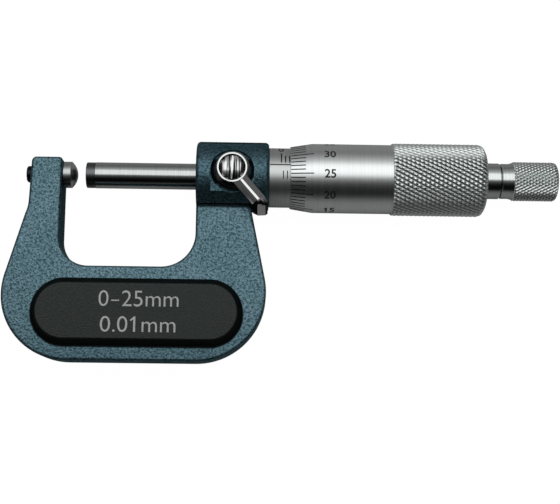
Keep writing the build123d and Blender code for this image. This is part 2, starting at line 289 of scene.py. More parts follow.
def speckled(name, colour, metallic, roughness, size, detail, stops):
    """A material whose colour wanders between stops, in spots of a size in mm."""
    material, tree, shader, place = new_material(name, colour, metallic, roughness)
    feed(shader, "Base Color", ramp(tree, noise(tree, place, size, detail), stops))
    return material, tree, shader, place


def merge_flats(piece):
    """Dissolves a copy's triangles into whole flat faces, and leaves nothing selected."""
    take_up(piece)
    bpy.ops.object.mode_set(mode="EDIT")
    bpy.ops.mesh.select_all(action="SELECT")
    bpy.ops.mesh.dissolve_limited(angle_limit=radians(0.5))
    bpy.ops.mesh.select_all(action="DESELECT")
    bpy.ops.object.mode_set(mode="OBJECT")


def round_edges(piece, width, segments, angle):
    """Rounds every edge sharper than an angle in degrees, by a width in mm."""
    apply_modifier(piece, "BEVEL", width=width * MM, segments=segments, limit_method="ANGLE",
                   angle_limit=radians(angle), harden_normals=False)


PLATE_TOP, PLATE_GRAIN, PLATE_MOTTLE, GRAIN_DEPTH = 6.4, 0.34, 2.2, 0.07
plate_plastic, tree, shader, place = speckled("black_abs", "#080A09", 0.0, 0.46, PLATE_MOTTLE, 3.0,
                                              [(0.35, "#060807"), (0.65, "#0B0E0C")])
shader.inputs["Specular Tint"].default_value = linear("#E4F2EE")
# The rim below the flat face was left as moulded, without the face's sheen.
height = maths(tree, "ABSOLUTE", node(tree, "SeparateXYZ", {0: place}).outputs["Z"])
feed(shader, "Specular IOR Level", fade(tree, height, PLATE_TOP - 0.35, PLATE_TOP - 0.05, (0.14, 0.62)))
grit = noise(tree, place, PLATE_GRAIN, 2.0)
feed(shader, "Roughness", remap(tree, grit, (0, 1), (0.26, 0.66)))
dimple(tree, shader, grit, 1.0, GRAIN_DEPTH)

for side in ("front", "rear"):
    plate = from_node(side + "_grip_plate", side + "_plate")
    merge_flats(plate)
    round_edges(plate, 0.40, 4, 30)
    crisp(plate, 35)
    dress(plate, plate_plastic)
    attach(plate, "frame_body")
    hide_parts(side + "_grip_plate")


# Plate lettering
# The measuring range and the division, pad-printed in light grey ink on the front plate.
# The ink film is hardly thicker than a hair, with soft edges where it laps over the grain.

print_ink = speckled("pad_print_grey", "#DCE0DF", 0.0, 0.55, 0.25, 1.0,
                     [(0.3, "#C6CAC9"), (0.6, "#E0E4E3")])[0]


def glyphs(letters):
    """Left, right, bottom and top of every character, found from the gaps between them."""
    points = [v.co for v in letters.data.vertices]
    spans = sorted([min(points[i].x for i in face.vertices), max(points[i].x for i in face.vertices)]
                   for face in letters.data.polygons)
    joined = [spans[0]]
    for left, right in spans[1:]:
        if left <= joined[-1][1]:
            joined[-1][1] = max(joined[-1][1], right)
        else:
            joined.append([left, right])
    for left, right in joined:
        heights = [p.y for p in points if left <= p.x <= right]
        yield left, right, min(heights), max(heights)


def flag_of_one(middle, top, height, stroke):
    """The slanted stroke at the head of a figure one."""
    deselect()
    length = 0.32 * height
    bpy.ops.mesh.primitive_cube_add(
        size=1, location=(middle - 0.38 * length, top - 0.4 * stroke - 0.33 * length, 0),
        rotation=(0, 0, radians(41)), scale=(length, 0.8 * stroke, 0.96))
    bpy.ops.object.transform_apply(location=True, rotation=True, scale=True)
    return bpy.context.object


# Shares of the lettering's height that tell a bare bar and a dash, and how much of the dash stays.
BAR_WIDE, BAR_TALL, DASH_WIDE, DASH_TALL, DASH_SHARE = 0.25, 0.9, 0.3, 0.2, 0.68


def lettering(words, name, width, height, thickness, fatten=0.0):
    """Lettering as a thin closed mesh about the origin, fitted to a width and a height in mm.
    The font's dash is shortened and its figure one, a bare bar, gets its slanted stroke."""
    deselect()
    bpy.ops.object.text_add(location=(0, 0, 0))
    letters = bpy.context.object
    letters.name = name
    letters.data.body = words
    letters.data.extrude = 0.5
    letters.data.offset = fatten
    letters.data.resolution_u = 4
    bpy.ops.object.convert(target="MESH")
    letters = bpy.context.object
    tall = max(v.co.y for v in letters.data.vertices) - min(v.co.y for v in letters.data.vertices)
    flags = []
    for left, right, bottom, top in list(glyphs(letters)):
        middle = (left + right) / 2
        if right - left < BAR_WIDE * tall and top - bottom > BAR_TALL * tall:
            flags.append(flag_of_one(middle, top, tall, right - left))
        if right - left > DASH_WIDE * tall and top - bottom < DASH_TALL * tall:
            for v in letters.data.vertices:
                if left <= v.co.x <= right:
                    v.co.x = middle + DASH_SHARE * (v.co.x - middle)
    take_up(letters)
    for flag in flags:
        flag.select_set(True)
    if flags:
        bpy.ops.object.join()
    points = [v.co for v in letters.data.vertices]
    low = [min(p[i] for p in points) for i in range(3)]
    high = [max(p[i] for p in points) for i in range(3)]
    size = (width, height, thickness)
    for p in points:
        for i in range(3):
            p[i] = ((p[i] - low[i]) / (high[i] - low[i]) - 0.5) * size[i] * MM
    clean_mesh(letters, 0.0001)
    return letters


INK_FILM = 0.03
for name, words, x, y, wide, high in (("range_print", "0–25mm", 16.55, -31.58, 19.25, 3.85),
                                      ("division_print", "0.01mm", 16.50, -37.78, 18.10, 3.80)):
    letters = lettering(words, name, wide, high, INK_FILM, fatten=-0.006)
    for v in letters.data.vertices:
        v.co += Vector((x, y, PLATE_TOP + 0.2 * INK_FILM)) * MM
    dress(letters, print_ink)
    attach(letters, "frame_body")


# Anvil
# A ball-ended anvil for the inside of a tube's wall, turned from hardened tool steel.
# The dome is lapped to a mirror; the thin shank is pressed through the frame's arm.


def lined(tree, place, gap, length, detail):
    """Noise drawn out into fine lines across X, gap apart and about length long, in mm."""
    scale = (1 / (gap * MM), 1 / (length * MM), 1 / (length * MM))
    stretch = node(tree, "Mapping", {"Vector": place, "Scale": scale}).outputs["Vector"]
    return node(tree, "TexNoise", {"Vector": stretch, "Scale": 1.0, "Detail": detail}).outputs["Fac"]


def turned_metal(name, dark, light, smoothest, roughest, line_gap, line_long):
    """Metal that was turned or ground about the spindle axis, so fine lines run round it."""
    material, tree, shader, place = new_material(name, light, 1.0, roughest)
    lines = lined(tree, place, line_gap, line_long, 3.0)
    feed(shader, "Base Color", ramp(tree, lines, [(0.3, dark), (0.7, light)]))
    feed(shader, "Roughness", remap(tree, lines, (0, 1), (smoothest, roughest)))
    return material, tree, shader, place


def fed_colour(shader):
    """What drives the shader's colour so far, to be worked on."""
    return shader.inputs["Base Color"].links[0].from_socket


# Hardened tool steel with a fine ground finish. The pressed end is coloured dark.
BLACK_END_X = -10.9
anvil_steel, tree, shader, place = turned_metal("ground_tool_steel", "#B1B5B4", "#CACECD",
                                                0.24, 0.34, 0.12, 9)
along = node(tree, "SeparateXYZ", {0: place}).outputs["X"]
beyond_dark_end = fade(tree, along, BLACK_END_X - 0.1, BLACK_END_X + 0.1)
feed(shader, "Base Color", mix(tree, beyond_dark_end, "#2A2A2B", fed_colour(shader)))


def arc(cx, cr, radius, start, end, steps):
    """Points of a round corner in a half profile, angles in degrees from +X towards the radius."""
    turn = [radians(start + (end - start) * k / steps) for k in range(steps + 1)]
    return [(cx + radius * cos(t), cr + radius * sin(t)) for t in turn]


def turned(name, profile, segments=144, upright_at=None):
    """A lathe piece: a half profile of (along, radius) points in mm, drawn point by point and
    spun about the spindle axis, or about an upright axis at the given x."""
    def point(along, radius):
        if upright_at is None:
            return Vector((along, 0, radius)) * MM
        return Vector((upright_at + radius, 0, along)) * MM

    deselect()
    bpy.ops.mesh.primitive_plane_add(size=MM, location=point(*profile[0]))
    piece = bpy.context.object
    piece.name = name
    bpy.ops.object.transform_apply(location=True, rotation=True, scale=True)
    bpy.ops.object.mode_set(mode="EDIT")
    bpy.ops.mesh.select_all(action="SELECT")
    bpy.ops.mesh.merge(type="CENTER")
    for last, here in zip(profile, profile[1:]):
        bpy.ops.mesh.extrude_region_move(
            TRANSFORM_OT_translate={"value": point(*here) - point(*last)})
    bpy.ops.mesh.select_all(action="SELECT")
    centre = (0, 0, 0) if upright_at is None else (upright_at * MM, 0, 0)
    axis = (1, 0, 0) if upright_at is None else (0, 0, 1)
    bpy.ops.mesh.spin(steps=segments, angle=2 * pi, center=centre, axis=axis)
    bpy.ops.object.mode_set(mode="OBJECT")
    clean_mesh(piece)
    smooth(piece)
    return piece


ANVIL_R, DOME_R, SHANK_R, SHANK_X, SEAT_X = 3.28, 4.35, 2.06, -12.54, -3.41
RIM_BREAK, SHANK_LEAD, SEAT_BREAK = 0.12, 0.3, 0.15
rim_angle = degrees(asin((ANVIL_R - RIM_BREAK) / DOME_R))
dome = arc(-DOME_R, 0, DOME_R, rim_angle, 0, 18)
anvil = turned("anvil_ball_end", [
    (SHANK_X, 0), (SHANK_X, SHANK_R - SHANK_LEAD), (SHANK_X + SHANK_LEAD, SHANK_R), (SEAT_X, SHANK_R),
    (SEAT_X, ANVIL_R - SEAT_BREAK), (SEAT_X + SEAT_BREAK, ANVIL_R), (dome[0][0] - RIM_BREAK, ANVIL_R)] + dome)
dress(anvil, anvil_steel)
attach(anvil, "frame_body")
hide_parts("anvil")


# Barrel core
# The slit thread bush and its taper nut, turned in bright steel and pressed into the boss.
# They lie under the sleeve, so only a fine lathe grain and a film of oil show on them.

turned_steel = turned_metal("oiled_turned_steel", "#8F8D88", "#B4B3AF", 0.26, 0.38, 0.25, 12)[0]
for name in ("thread_bush", "adjusting_nut", "ratchet_pawl", "ratchet_washer", "ratchet_screw", "lock_stem"):
    dress(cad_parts[name], turned_steel)


# Sleeve
# The graduated barrel: a steel tube with a satin chrome finish, a friction fit on the bush.
# A blind hole at the back takes the pin spanner that turns it to set zero.


def cut_away(piece, cutter):
    apply_modifier(piece, "BOOLEAN", operation="DIFFERENCE", object=cutter, solver="EXACT")
    bpy.data.objects.remove(cutter)


# Matt satin chrome, duller than the thimble's so that the marks read well.
matt_chrome = turned_metal("matt_satin_chrome", "#C8CCCB", "#D6DAD9", 0.36, 0.44, 0.18, 14)[0]

SLEEVE_X0, SLEEVE_X1, SLEEVE_R, BUSH_BORE_R, NUT_BORE_X, NUT_BORE_R = 47.63, 77.0, 7.42, 5.62, 68.6, 6.85
SPANNER_X, SPANNER_R, SPANNER_CUT = 49.4, 0.6, 2.4
sleeve = turned("graduated_sleeve", [
    (SLEEVE_X0, BUSH_BORE_R), (SLEEVE_X0, SLEEVE_R - 0.08), (SLEEVE_X0 + 0.08, SLEEVE_R),
    (SLEEVE_X1 - 0.2, SLEEVE_R), (SLEEVE_X1, SLEEVE_R - 0.2), (SLEEVE_X1, NUT_BORE_R),
    (NUT_BORE_X, NUT_BORE_R), (NUT_BORE_X, BUSH_BORE_R), (SLEEVE_X0, BUSH_BORE_R)])
deselect()
bpy.ops.mesh.primitive_cylinder_add(vertices=32, radius=SPANNER_R * MM, depth=SPANNER_CUT * MM,
                                    location=(SPANNER_X * MM, 0, -SLEEVE_R * MM))
cut_away(sleeve, bpy.context.object)
smooth(sleeve)
dress(sleeve, matt_chrome)
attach(sleeve, "frame_body")
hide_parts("sleeve")


# Sleeve graduations
# An index line, whole millimetres above it and half millimetres below, engraved and filled
# with black lacquer. The numbers stand every five millimetres.

lacquer = speckled("engraving_lacquer", "#1B1D1C", 0.0, 0.5, 0.35, 2.0,
                   [(0.35, "#141615"), (0.7, "#2E302F")])[0]

MARK_DEPTH, MARK_PROUD, SLICE = 0.04, 0.012, 0.3


def flat_mark(x0, x1, s0, s1):
    """A filled line before it is wrapped: x along the barrel, s around it, in mm."""
    deselect()
    bpy.ops.mesh.primitive_cube_add(size=1, location=((x0 + x1) / 2 * MM, (s0 + s1) / 2 * MM, 0),
                                    scale=((x1 - x0) * MM, (s1 - s0) * MM, MARK_DEPTH * MM))
    bpy.ops.object.transform_apply(location=True, rotation=True, scale=True)
    return bpy.context.object


def number_mark(words, x, s, width, height):
    letters = lettering(words, "number_" + words, width, height, MARK_DEPTH, fatten=0.02)
    for v in letters.data.vertices:
        v.co += Vector((x, s, 0)) * MM
    return letters


def wrapped(name, marks, radius_at):
    """Joins flat marks, slices them across so they can bend, and lays them round the barrel."""
    deselect()
    for mark in marks:
        mark.select_set(True)
    bpy.context.view_layer.objects.active = marks[0]
    bpy.ops.object.join()
    piece = bpy.context.object
    piece.name = name
    low = min(v.co.y for v in piece.data.vertices) / MM
    high = max(v.co.y for v in piece.data.vertices) / MM
    bpy.ops.object.mode_set(mode="EDIT")
    cut = low + SLICE
    while cut < high:
        bpy.ops.mesh.select_all(action="SELECT")
        bpy.ops.mesh.bisect(plane_co=(0, cut * MM, 0), plane_no=(0, 1, 0))
        cut += SLICE
    bpy.ops.object.mode_set(mode="OBJECT")
    for v in piece.data.vertices:
        base = radius_at(v.co.x / MM)
        turn = v.co.y / MM / base
        radius = base + MARK_PROUD + v.co.z / MM - MARK_DEPTH / 2
        v.co = Vector((v.co.x, radius * sin(turn) * MM, radius * cos(turn) * MM))
    clean_mesh(piece, 0.0001)
    return piece


def around(angle, radius=SLEEVE_R):
    """Arc length in mm for an angle in degrees from the front."""
    return radians(angle) * radius


# Where the marks start and end around the sleeve, in degrees from the front.
INDEX_DEG, WHOLE_DEG, FIFTH_DEG, HALF_DEG, NUMBER_DEG = 13.9, (18.3, 35.2), (18.3, 42.9), (-13.8, 1.9), 57.5
ZERO_X, RANGE, LINE_W, FINE_W, INDEX_W = 50.58, 25, 0.32, 0.24, 0.30

marks = [flat_mark(SLEEVE_X0 + 0.15, ZERO_X + RANGE + 0.6, around(INDEX_DEG) - INDEX_W / 2,
                   around(INDEX_DEG) + INDEX_W / 2)]
for millimetre in range(RANGE + 1):
    x = ZERO_X + millimetre
    start, end = FIFTH_DEG if millimetre % 5 == 0 else WHOLE_DEG
    marks.append(flat_mark(x - LINE_W / 2, x + LINE_W / 2, around(start), around(end)))
    if millimetre < RANGE:
        start, end = HALF_DEG
        marks.append(flat_mark(x + 0.5 - FINE_W / 2, x + 0.5 + FINE_W / 2, around(start), around(end)))
    if millimetre % 5 == 0:
        wide = 1.35 if millimetre < 10 else 2.9
        marks.append(number_mark(str(millimetre), x, around(NUMBER_DEG), wide, 2.3))
scale_marks = wrapped("sleeve_graduations", marks, lambda x: SLEEVE_R)
dress(scale_marks, lacquer)
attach(scale_marks, "frame_body")


# Spindle
# Hardened steel, ground and polished, with its thread and taper seat inside the barrel.
# The measuring face is a tip of sintered carbide, brazed on, darker than the steel.

GAP, TIP_X1, TIP_R, SPINDLE_R = 2.27, 4.52, 3.2, 3.25
carbide = speckled("lapped_carbide", "#6B6F6F", 1.0, 0.30, 0.2, 2.0,
                   [(0.3, "#606464"), (0.7, "#757979")])[0]
tip = turned("carbide_tip", [
    (GAP, 0), (GAP, TIP_R - 0.12), (GAP + 0.12, TIP_R), (TIP_X1 - 0.03, TIP_R), (TIP_X1, TIP_R - 0.03),
    (TIP_X1, 0)])
dress(tip, carbide)
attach(tip, "travel_body")
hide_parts("spindle_tip")

# Tool steel, ground and then polished along the whole length that shows.
spindle_steel = turned_metal("polished_spindle_steel", "#B7BBBA", "#CBCFCE", 0.10, 0.18, 0.12, 9)[0]
SPINDLE_X0, THREAD_X0, THREAD_X1, THREAD_R = TIP_X1 + 0.01, 43.5, 78.6, 3.6
TAPER_X0, TAPER_X1, TAPER_R0, TAPER_R1, POST_HOLE_X, POST_HOLE_R = 81.0, 88.6, 4.2, 3.5, 82.1, 1.62
spindle = turned("ground_spindle", [
    (SPINDLE_X0, 0), (SPINDLE_X0, SPINDLE_R - 0.06), (SPINDLE_X0 + 0.06, SPINDLE_R),
    (THREAD_X0 - 0.3, SPINDLE_R), (THREAD_X0, THREAD_R), (THREAD_X1, THREAD_R), (THREAD_X1, SPINDLE_R),
    (TAPER_X0, SPINDLE_R), (TAPER_X0, TAPER_R0), (TAPER_X1, TAPER_R1), (TAPER_X1, POST_HOLE_R),
    (POST_HOLE_X, POST_HOLE_R), (POST_HOLE_X, 0)])
dress(spindle, spindle_steel)
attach(spindle, "thimble_body")
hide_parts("spindle")


# Thimble
# One turned steel sleeve: a bevelled edge for the scale, a plain barrel, and a thicker grip
# whose diamond knurl is rolled between two crossed sets of grooves. Satin chrome plated.

# Satin chrome, lathe-fine under a light blast, on the thimble and the knob's cap.
satin, tree, shader, place = turned_metal("satin_chrome", "#E0E5E4", "#EEF3F2", 0.27, 0.35, 0.18, 14)
dimple(tree, shader, noise(tree, place, 0.3, 2.0), 0.1, 0.005)

# The same chrome on the knurls, with the bottoms of the grooves coloured darker: old oil, and painted shade
# in the grooves.
knurl_oil_and_shade_chrome, tree, shader, place = turned_metal("oiled_shaded_satin_knurl", "#EAF0EF", "#F5FAF9",
                                                0.25, 0.33, 0.18, 14)
depth = node(tree, "Attribute", attribute_name="groove").outputs["Fac"]
oil_and_groove_shade = ramp(tree, depth, [(0.1, "#FFFFFF"), (0.5, "#F2F5F4"), (1.0, "#777B79")])
feed(shader, "Base Color", mix(tree, 1.0, fed_colour(shader), oil_and_groove_shade, "MULTIPLY"))


def knurl_depth(x, s, pitch, falling, rising, land):
    """How deep the crossed grooves are, x mm along and s diamonds around; the deeper one counts."""
    deepest = 0.0
    for t, depth in ((x / pitch + s, falling), (x / pitch - s, rising)):
        off = abs((t + 0.5) % 1.0 - 0.5)
        deepest = max(deepest, depth * max(0.0, (off - land) / (0.5 - land)))
    return deepest


def knurled(name, rows, cells, fine, pitch, falling, rising, land):
    """A turned ring with a diamond knurl. A row is (x, radius, share of the knurl) in mm, and
    the rows run once round the wall's section. Cells are half diamonds, cut fine times."""
    segments = cells * fine
    origin = next(x for x, radius, share in rows if share)
    deselect()
    bpy.ops.mesh.primitive_grid_add(x_subdivisions=len(rows), y_subdivisions=segments, size=1)
    piece = bpy.context.object
    piece.name = name
    groove = piece.data.attributes.new("groove", "FLOAT", "POINT")
    for v in piece.data.vertices:
        x, radius, share = rows[round((v.co.x + 0.5) * len(rows)) % len(rows)]
        step = (v.co.y + 0.5) * segments
        if share:
            depth = share * knurl_depth(x - origin, step / fine / 2, pitch, falling, rising, land)
            radius -= depth
            groove.data[v.index].value = depth / max(falling, rising)
        turn = 2 * pi * step / segments
        v.co = Vector((x, radius * sin(turn), radius * cos(turn))) * MM
    clean_mesh(piece)
    take_up(piece)
    bpy.ops.object.mode_set(mode="EDIT")
    bpy.ops.mesh.select_all(action="SELECT")
    bpy.ops.mesh.quads_convert_to_tris(quad_method="SHORTEST_DIAGONAL")
    bpy.ops.object.mode_set(mode="OBJECT")
    smooth(piece, 20)
    return piece


def knurl_rows(x0, x1, step, radius_at, run_in, run_out):
    """Rows every step from x0 to x1, with the knurl fading over its first and last stretch."""
    rows = []
    for k in range(int((x1 - x0) / step) + 1):
        x = x0 + k * step
        share = min(1.0, (x - x0 + 0.05) / run_in, (x1 - x + 0.05) / run_out)
        rows.append((x, radius_at(x), max(0.0001, share)))
    return rows


def plain_rows(*points):
    """Rows without a knurl."""
    return [(x, radius, 0) for x, radius in points]


def redress(piece, material, chosen):
    """Gives the chosen faces a second material."""
    piece.data.materials.append(material)
    for face in piece.data.polygons:
        if chosen(face):
            face.material_index = 1


EDGE_X, EDGE_R, BEVEL_X, THIMBLE_R, CAVITY_X, CAVITY_R = 52.87, 7.75, 58.4, 8.65, 80.6, 7.49
GRIP_X0, GRIP_X1, GRIP_R, GRIP_ROUND, GRIP_CHAMFER = 78.1, 101.5, 9.05, 2.0, 0.25
TAPER_SEAT_R0, TAPER_SEAT_R1, REAR_BORE_X, REAR_BORE_R = 4.3, 3.45, 89.4, 4.0
GRIP_PITCH, GRIP_CELLS, GRIP_FINE, GRIP_FALLING, GRIP_RISING, GRIP_LAND = 2.13, 102, 4, 0.34, 0.13, 0.12
GRIP_END_R = GRIP_R - GRIP_ROUND


def grip_profile(x):
    """The grip's outside: a small chamfer in front and a full round behind."""
    lead = GRIP_R - max(0.0, GRIP_CHAMFER - (x - GRIP_X0))
    into_round = max(0.0, x - (GRIP_X1 - GRIP_ROUND))
    return min(lead, GRIP_END_R + sqrt(max(0.0, GRIP_ROUND ** 2 - into_round ** 2)))


thimble_rows = plain_rows(
    (EDGE_X, CAVITY_R), (EDGE_X, EDGE_R - 0.06), (EDGE_X + 0.07, EDGE_R), (BEVEL_X - 0.3, THIMBLE_R - 0.045),
    (BEVEL_X + 0.35, THIMBLE_R), (GRIP_X0 - 0.02, THIMBLE_R), (GRIP_X0, THIMBLE_R + 0.02))
thimble_rows += knurl_rows(GRIP_X0 + 0.1, GRIP_X1 - 0.14, GRIP_PITCH / 2 / GRIP_FINE, grip_profile, 0.3, 0.35)
thimble_rows += plain_rows(
    (GRIP_X1 - 0.06, GRIP_END_R + 0.42), (GRIP_X1, GRIP_END_R), (GRIP_X1, REAR_BORE_R),
    (REAR_BORE_X, REAR_BORE_R), (REAR_BORE_X, TAPER_SEAT_R1), (CAVITY_X, TAPER_SEAT_R0), (CAVITY_X, CAVITY_R))
thimble = knurled("knurled_thimble", thimble_rows, GRIP_CELLS, GRIP_FINE, GRIP_PITCH, GRIP_FALLING,
                  GRIP_RISING, GRIP_LAND)
dress(thimble, satin)
redress(thimble, knurl_oil_and_shade_chrome, lambda face: face.center.x > GRIP_X0 * MM
        and face.center.yz.length > GRIP_END_R * MM)
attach(thimble, "thimble_body")
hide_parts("thimble")


# Thimble graduations
# Fifty divisions on the bevelled edge, with longer lines and numbers at every fifth.
# They are engraved and filled like those on the sleeve.

DIVISIONS, DEG_OF_25, DIAL_LINE_W, NUMBER_X = 50, -3.6, 0.28, 62.55
LINE_X0, FIFTH_X1, LINE_X1 = EDGE_X + 0.12, 58.55, 56.55


def bevel_radius(x):
    if x < BEVEL_X:
        return EDGE_R + (x - EDGE_X) * (THIMBLE_R - EDGE_R) / (BEVEL_X - EDGE_X)
    return THIMBLE_R


def thimble_mark(x0, x1, angle, width):
    """A short filled line along the barrel; its sides stay parallel on the cone."""
    mark = flat_mark(x0, x1, -width / 2, width / 2)
    take_up(mark)
    bpy.ops.object.mode_set(mode="EDIT")
    bpy.ops.mesh.select_all(action="SELECT")
    if x1 > BEVEL_X:
        bpy.ops.mesh.bisect(plane_co=(BEVEL_X * MM, 0, 0), plane_no=(1, 0, 0))
    bpy.ops.object.mode_set(mode="OBJECT")
    for v in mark.data.vertices:
        v.co.y += around(angle, bevel_radius(v.co.x / MM)) * MM
    return mark


marks = []
for division in range(DIVISIONS):
    angle = DEG_OF_25 + (division - 25) * 360 / DIVISIONS
    angle = (angle + 180) % 360 - 180
    end = FIFTH_X1 if division % 5 == 0 else LINE_X1
    marks.append(thimble_mark(LINE_X0, end, angle, DIAL_LINE_W))
    if division % 5 == 0:
        wide = 1.3 if division < 10 else 2.8
        marks.append(number_mark(str(division), NUMBER_X, around(angle, THIMBLE_R), wide, 2.2))
dial_marks = wrapped("thimble_graduations", marks, bevel_radius)
dress(dial_marks, lacquer)
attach(dial_marks, "thimble_body")


# Ratchet
# A polished neck screwed into the thimble holds the sprung toothed disc, and the knurled knob
# turns on its post. The knob slips past the disc's teeth once the face is pressed lightly.

# Bright chrome over fine turning lines.
neck_steel = turned_metal("bright_turned_chrome", "#C2C7C6", "#DADFDE", 0.12, 0.21, 0.16, 14)[0]

NECK_X0, NECK_X1, NECK_R, NECK_PLUG_X, NECK_PLUG_R = 101.52, 105.32, 4.48, 89.42, 3.98
DISC_BORE_X, DISC_BORE_R, POST_X1, POST_R, SCREW_HOLE_X, SCREW_HOLE_R = 102.9, 3.75, 112.2, 1.9, 107.7, 0.92
STUD_X0, STUD_R = 82.6, 1.6
neck = turned("ratchet_neck", [
    (STUD_X0, 0), (STUD_X0, STUD_R), (NECK_PLUG_X, STUD_R), (NECK_PLUG_X, NECK_PLUG_R),
    (NECK_X0, NECK_PLUG_R), (NECK_X0, NECK_R), (NECK_X1 - 0.2, NECK_R), (NECK_X1, NECK_R - 0.2),
    (NECK_X1, DISC_BORE_R), (DISC_BORE_X, DISC_BORE_R), (DISC_BORE_X, POST_R), (POST_X1, POST_R),
    (POST_X1, SCREW_HOLE_R), (SCREW_HOLE_X, SCREW_HOLE_R), (SCREW_HOLE_X, 0)])
dress(neck, neck_steel)
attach(neck, "thimble_body")
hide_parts("ratchet_body")

spring_wire = speckled("drawn_spring_wire", "#8D8D8F", 1.0, 0.26, 0.1, 1.0,
                       [(0.3, "#77777A"), (0.7, "#97979A")])[0]
dress(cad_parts["ratchet_spring"], spring_wire)

KNOB_X0, KNOB_X1, KNOB_R, KNOB_ROUND, RING_X1, RING_R, KNURL_X0 = 105.56, 119.7, 4.9, 1.0, 107.6, 4.4, 108.5
KNOB_PITCH, KNOB_CELLS, KNOB_FINE, KNOB_FALLING, KNOB_RISING, KNOB_LAND = 1.55, 68, 4, 0.14, 0.29, 0.11
CAP_SEAT_X, CAP_SEAT_R, HEAD_BORE_X, HEAD_BORE_R = KNOB_X1 - 1.0, 3.8, 112.0, 3.6
WEB_X, POST_BORE_R, TEETH_BORE_R = 109.4, 1.94, 3.7
KNOB_END_R = KNOB_R - KNOB_ROUND


def knob_profile(x):
    """The knob's outside: a short lead in front and a round behind."""
    lead = KNOB_R - 0.25 + max(0.0, min(0.25, x - KNURL_X0 - 0.05))
    into_round = max(0.0, x - (KNOB_X1 - KNOB_ROUND))
    return min(lead, KNOB_END_R + sqrt(max(0.0, KNOB_ROUND ** 2 - into_round ** 2)))


knob_rows = plain_rows(
    (KNOB_X0, TEETH_BORE_R), (KNOB_X0, RING_R - 0.2), (KNOB_X0 + 0.2, RING_R), (RING_X1, RING_R),
    (KNURL_X0, KNOB_R - 0.3))
knob_rows += knurl_rows(KNURL_X0 + 0.1, KNOB_X1 - 0.1, KNOB_PITCH / 2 / KNOB_FINE, knob_profile, 0.3, 0.25)
knob_rows += plain_rows(
    (KNOB_X1 - 0.03, KNOB_END_R + 0.2), (KNOB_X1, KNOB_END_R), (KNOB_X1, CAP_SEAT_R),
    (CAP_SEAT_X, CAP_SEAT_R), (CAP_SEAT_X, HEAD_BORE_R), (HEAD_BORE_X, HEAD_BORE_R),
    (HEAD_BORE_X, POST_BORE_R), (WEB_X, POST_BORE_R), (WEB_X, TEETH_BORE_R))
knob = knurled("ratchet_knob_grip", knob_rows, KNOB_CELLS, KNOB_FINE, KNOB_PITCH, KNOB_FALLING,
               KNOB_RISING, KNOB_LAND)
dress(knob, knurl_oil_and_shade_chrome)
redress(knob, neck_steel, lambda face: face.center.x < KNURL_X0 * MM)
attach(knob, "knob_body")
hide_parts("ratchet_knob")

CAP_X0, CAP_X1, CAP_R, CAP_DISH_R, CAP_DISH = CAP_SEAT_X + 0.02, KNOB_X1 - 0.1, 3.78, 3.2, 0.06
cap = turned("knob_cap", [
    (CAP_X0, 0), (CAP_X0, CAP_R), (CAP_X1 - 0.1, CAP_R), (CAP_X1, CAP_R - 0.1), (CAP_X1, CAP_DISH_R + 0.1),
    (CAP_X1 - CAP_DISH, CAP_DISH_R), (CAP_X1 - CAP_DISH, 0)], 96)
dress(cap, satin)
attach(cap, "knob_body")
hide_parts("end_cap")


# Spindle lock
# A steel seat, painted dark on its lower side as shade, is pressed into the boss's spot face.
# Over it turns a cranked lever of chromed steel, clamped on its stem by a slotted, domed screw; a brass shoe
# holds the spindle.

seat_steel_painted_shade, tree, shader, place = speckled("seat_steel_with_painted_shade", "#C6C9C6", 1.0, 0.28, 0.5, 3.0,
                                          [(0.35, "#B4B7B4"), (0.7, "#D4D7D4")])
# Painted shade: the seat is coloured dark on its lower side, under the lever's arm, and bright steel above.
SEAT_SHADE_Y0, SEAT_SHADE_Y1 = -3.0, -1.4
clear_of_painted_shade = fade(tree, node(tree, "SeparateXYZ", {0: place}).outputs["Y"], SEAT_SHADE_Y0, SEAT_SHADE_Y1)
feed(shader, "Base Color", mix(tree, clear_of_painted_shade, "#323433", fed_colour(shader)))

# A plain foot in the recess, and above it a cone up to the lever's hub; (height, radius) in mm.
STEM_BORE_R, SEAT_Z0, SEAT_Z1 = 1.51, 6.01, 9.2
seat = turned("lock_seat", [
    (SEAT_Z0, STEM_BORE_R), (SEAT_Z0, 4.7), (7.9, 4.7), (8.25, 4.5), (9.1, 3.72), (SEAT_Z1, 3.55),
    (SEAT_Z1, STEM_BORE_R), (SEAT_Z0, STEM_BORE_R)], 96, LOCK_X)
dress(seat, seat_steel_painted_shade)
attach(seat, "frame_body")
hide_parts("lock_collar")

chrome, tree, shader, place = new_material("polished_chrome", "#D9DADA", 1.0, 0.10)
feed(shader, "Roughness", remap(tree, noise(tree, place, 0.6, 3.0), (0, 1), (0.06, 0.18)))
# The finger end's rim and sides are coloured dark steel as painted shade.
toe_painted_shade = speckled("toe_rim_painted_shade", "#2C2E2E", 1.0, 0.34, 0.5, 2.0, [(0.3, "#1E2020"), (0.7, "#3A3D3C")])[0]

lever = from_node("lock_lever", "cranked_lever")
merge_flats(lever)

# The hub's bore widens a little towards its rim.
HUB_TOP, HUB_BORE_R, RIM_BORE_R, TAPER_LONG = 11.7, 3.04, 3.12, 1.1
deselect()
bpy.ops.mesh.primitive_cone_add(
    vertices=96, radius1=HUB_BORE_R * MM, radius2=(RIM_BORE_R + 0.01) * MM, depth=TAPER_LONG * MM,
    location=(LOCK_X * MM, 0, (HUB_TOP - 0.5) * MM))
cut_away(lever, bpy.context.object)

